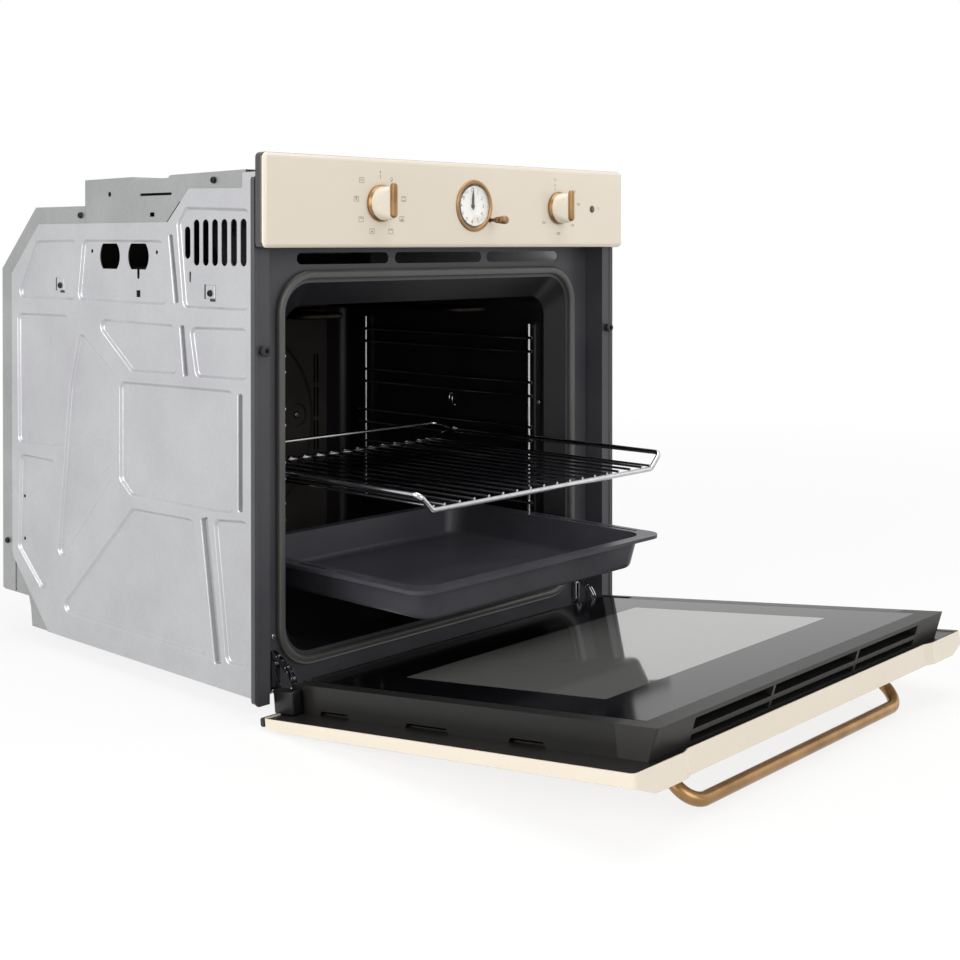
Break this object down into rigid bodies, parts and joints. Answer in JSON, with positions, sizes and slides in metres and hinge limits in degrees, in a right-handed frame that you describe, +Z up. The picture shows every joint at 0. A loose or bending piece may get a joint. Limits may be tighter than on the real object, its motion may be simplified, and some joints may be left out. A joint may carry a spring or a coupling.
{
  "type": "built-in oven",
  "caption": "Built-in electric oven with a drop-down glazed door, bar handle, two rotary knobs and a round clock on a cream fascia, wire shelf and baking tray inside.",
  "frame": {"origin": "middle of the width, on the front face of the frame's outer band, at the underside of the case", "axes": "+X to the right seen from the front, +Y towards the back, +Z up"},
  "size_m": [0.597, 1.0475, 0.5962],
  "materials": {
    "cream_enamel": "gloss enamel",
    "black_enamel": "satin enamel",
    "galvanised_steel": "galvanised sheet",
    "bare_steel": "plain steel",
    "chromed_wire": "polished",
    "element_sheath": "heat-darkened",
    "bronze": "satin bronze",
    "cream_plastic": "gloss",
    "black_plastic": "fine grain",
    "dial_white": "printed dial",
    "hand_black": "satin",
    "clear_glass": "clear",
    "tinted_glass": "tinted, part coated",
    "lamp_amber": "translucent",
    "black_sheet": "satin",
    "gasket_rubber": "matt",
    "mineral_wool": "fibrous"
  },
  "bodies": {
    "case": {"front_frame": "black_enamel", "fixing_bushes": "black_enamel", "door_gasket": "gasket_rubber", "cavity_liner": "black_enamel", "insulation_blanket": "mineral_wool", "side_panel_right": "galvanised_steel", "side_panel_left": "galvanised_steel", "rear_cover": "galvanised_steel", "top_cover": "galvanised_steel", "base_panel": "galvanised_steel", "terminal_box": "black_plastic", "control_fascia": "cream_enamel", "fascia_backing": "black_plastic", "selector_switch": "black_plastic", "thermostat": "black_plastic", "clock_case": "black_plastic", "clock_dial": "dial_white", "clock_bezel": "bronze", "clock_glass": "clear_glass", "indicator_lamp": "lamp_amber", "fan_baffle": "black_enamel", "fan_motor": "bare_steel", "ring_element": "element_sheath", "grill_element": "element_sheath", "base_element": "element_sheath", "lamp_holder": "black_plastic", "lamp_lens": "clear_glass", "side_rack_left": "chromed_wire", "side_rack_right": "chromed_wire", "blower_housing": "galvanised_steel", "blower_motor": "bare_steel", "hinge_arm_left": "bare_steel", "hinge_arm_right": "bare_steel"},
    "door": {"door_outer_panel": "cream_enamel", "outer_glass": "tinted_glass", "door_backing": "black_sheet", "door_bottom_trim": "black_plastic", "door_side_frame_left": "black_sheet", "door_side_frame_right": "black_sheet", "door_lower_rail": "black_sheet", "inner_glass": "tinted_glass", "middle_glass": "clear_glass", "door_top_trim": "black_plastic", "door_handle": "bronze"},
    "shelf": {"wire_shelf": "chromed_wire"},
    "tray": {"baking_tray": "black_enamel"},
    "selector": {"selector_ring": "bronze", "selector_knob": "cream_plastic", "selector_pointer": "bronze"},
    "thermostat_control": {"thermostat_ring": "bronze", "thermostat_knob": "cream_plastic", "thermostat_pointer": "bronze"},
    "setting_knob": {"clock_setting_knob": "bronze"},
    "minute": {"minute_hand": "hand_black"},
    "hour": {"hour_hand": "hand_black"},
    "fan": {"fan_impeller": "bare_steel"},
    "blower": {"blower_wheel": "bare_steel"},
    "latch_left": {"hinge_latch_left": "bare_steel"},
    "latch_right": {"hinge_latch_right": "bare_steel"}
  },
  "joints": [
    {"name": "door_hinge", "type": "hinge", "parent": "case", "child": "door", "pos_m": [0, -0.014, -0.013], "axis": [-1, 0, 0], "range_deg": [0, 83.15]},
    {"name": "shelf_slide", "type": "slide", "parent": "case", "child": "shelf", "axis": [0, 1, 0], "range_m": [0, 0.1835]},
    {"name": "tray_slide", "type": "slide", "parent": "case", "child": "tray", "axis": [0, 1, 0], "range_m": [0, 0.1825]},
    {"name": "selector_turn", "type": "hinge", "parent": "case", "child": "selector", "pos_m": [-0.136, 0, 0.5275], "axis": [0, 1, 0], "continuous": true},
    {"name": "thermostat_turn", "type": "hinge", "parent": "case", "child": "thermostat_control", "pos_m": [0.167, 0, 0.5275], "axis": [0, 1, 0], "range_deg": [0, 290]},
    {"name": "setting_turn", "type": "hinge", "parent": "case", "child": "setting_knob", "pos_m": [0.041, 0, 0.511], "axis": [0, 1, 0], "continuous": true},
    {"name": "minute_turn", "type": "hinge", "parent": "case", "child": "minute", "pos_m": [0.0135, 0, 0.5275], "axis": [0, 1, 0], "continuous": true},
    {"name": "hour_turn", "type": "hinge", "parent": "case", "child": "hour", "pos_m": [0.0135, 0, 0.5275], "axis": [0, 1, 0], "continuous": true},
    {"name": "fan_spin", "type": "hinge", "parent": "case", "child": "fan", "pos_m": [0, 0.45, 0.2285], "axis": [0, 1, 0], "continuous": true},
    {"name": "blower_spin", "type": "hinge", "parent": "case", "child": "blower", "pos_m": [0, 0.3, 0.498], "axis": [1, 0, 0], "continuous": true},
    {"name": "latch_left_pivot", "type": "hinge", "parent": "case", "child": "latch_left", "pos_m": [-0.2505, 0.02319, 0.01149], "axis": [-1, 0, 0], "range_deg": [-80, 0]},
    {"name": "latch_right_pivot", "type": "hinge", "parent": "case", "child": "latch_right", "pos_m": [0.2505, 0.02319, 0.01149], "axis": [-1, 0, 0], "range_deg": [-80, 0]}
  ],
  "couplings": [
    {"joint": "shelf_slide", "follows": "door_hinge", "m_per_rad": 0.1261},
    {"joint": "tray_slide", "follows": "door_hinge", "m_per_rad": 0.12541},
    {"joint": "minute_turn", "follows": "setting_turn", "ratio": 1},
    {"joint": "hour_turn", "follows": "setting_turn", "ratio": 0.083333}
  ]
}
